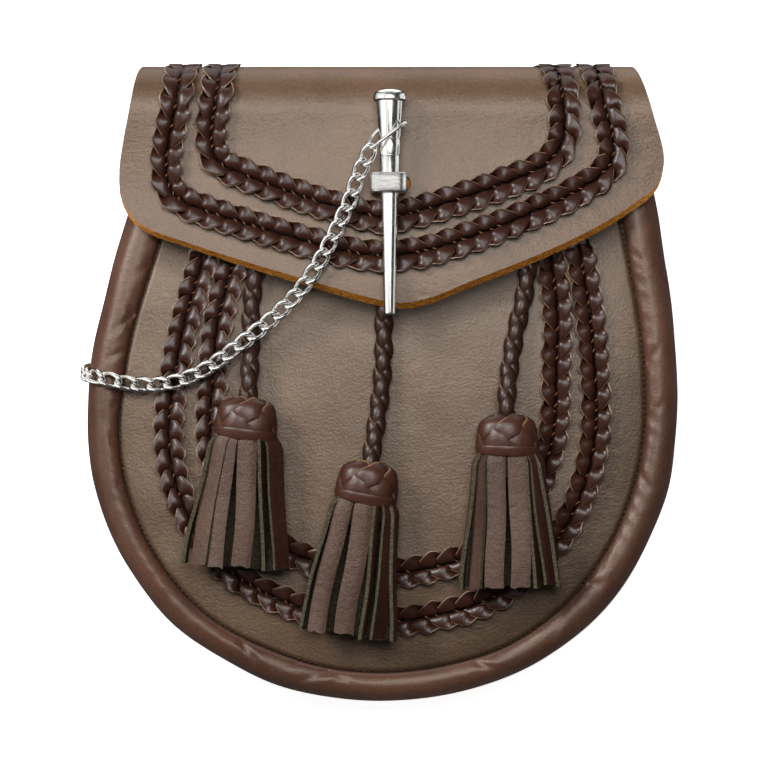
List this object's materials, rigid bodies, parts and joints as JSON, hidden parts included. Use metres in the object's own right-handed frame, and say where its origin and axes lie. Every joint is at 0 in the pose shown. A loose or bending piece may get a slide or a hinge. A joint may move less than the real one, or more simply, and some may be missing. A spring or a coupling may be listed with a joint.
{
  "type": "sporran pouch",
  "caption": "Flat leather pouch with a rolled gusset, pointed flap held by a chained pin through a staple, woven lace borders and hanging tassels.",
  "frame": {"origin": "middle of the underside of the pouch as it lies on its back, at the height of the surface it lies on", "axes": "+X towards the pouch's left as worn (right seen from the front), +Y towards the fold at its top, +Z out of its front"},
  "size_m": [0.189, 0.2019, 0.0471],
  "materials": {
    "flap_leather": "smooth, half gloss",
    "front_leather": "smooth, half gloss",
    "gusset_leather": "smooth, creased",
    "lace_leather": "glossy woven lace",
    "belt_loop_leather": "smooth, half gloss",
    "cord_leather": "glossy braided lace",
    "knot_leather": "woven lace",
    "strip_leather": "matt, suede inside",
    "chrome": "polished"
  },
  "bodies": {
    "root": {"back_and_flap": "flap_leather", "front_panel": "front_leather", "gusset": "gusset_leather", "front_plait_outer": "lace_leather", "front_plait_inner": "lace_leather", "flap_plait_outer": "lace_leather", "flap_plait_inner": "lace_leather", "belt_loop_left": "belt_loop_leather", "belt_loop_right": "belt_loop_leather", "cord_left": "cord_leather", "cord_middle": "cord_leather", "cord_right": "cord_leather", "tassel_knot_left": "knot_leather", "tassel_knot_middle": "knot_leather", "tassel_knot_right": "knot_leather", "tassel_left": "strip_leather", "tassel_middle": "strip_leather", "tassel_right": "strip_leather", "staple": "chrome", "pin": "chrome", "pin_ring": "chrome", "chain_anchor": "chrome", "chain_link_01": "chrome", "chain_link_02": "chrome", "chain_link_03": "chrome", "chain_link_04": "chrome", "chain_link_05": "chrome", "chain_link_06": "chrome", "chain_link_07": "chrome", "chain_link_08": "chrome", "chain_link_09": "chrome", "chain_link_10": "chrome", "chain_link_11": "chrome", "chain_link_12": "chrome", "chain_link_13": "chrome", "chain_link_14": "chrome", "chain_link_15": "chrome", "chain_link_16": "chrome", "chain_link_17": "chrome", "chain_link_18": "chrome", "chain_link_19": "chrome", "chain_link_20": "chrome", "chain_link_21": "chrome", "chain_link_22": "chrome", "chain_link_23": "chrome", "chain_link_24": "chrome", "chain_link_25": "chrome", "chain_link_26": "chrome", "chain_link_27": "chrome", "chain_link_28": "chrome", "chain_link_29": "chrome"}
  },
  "joints": []
}
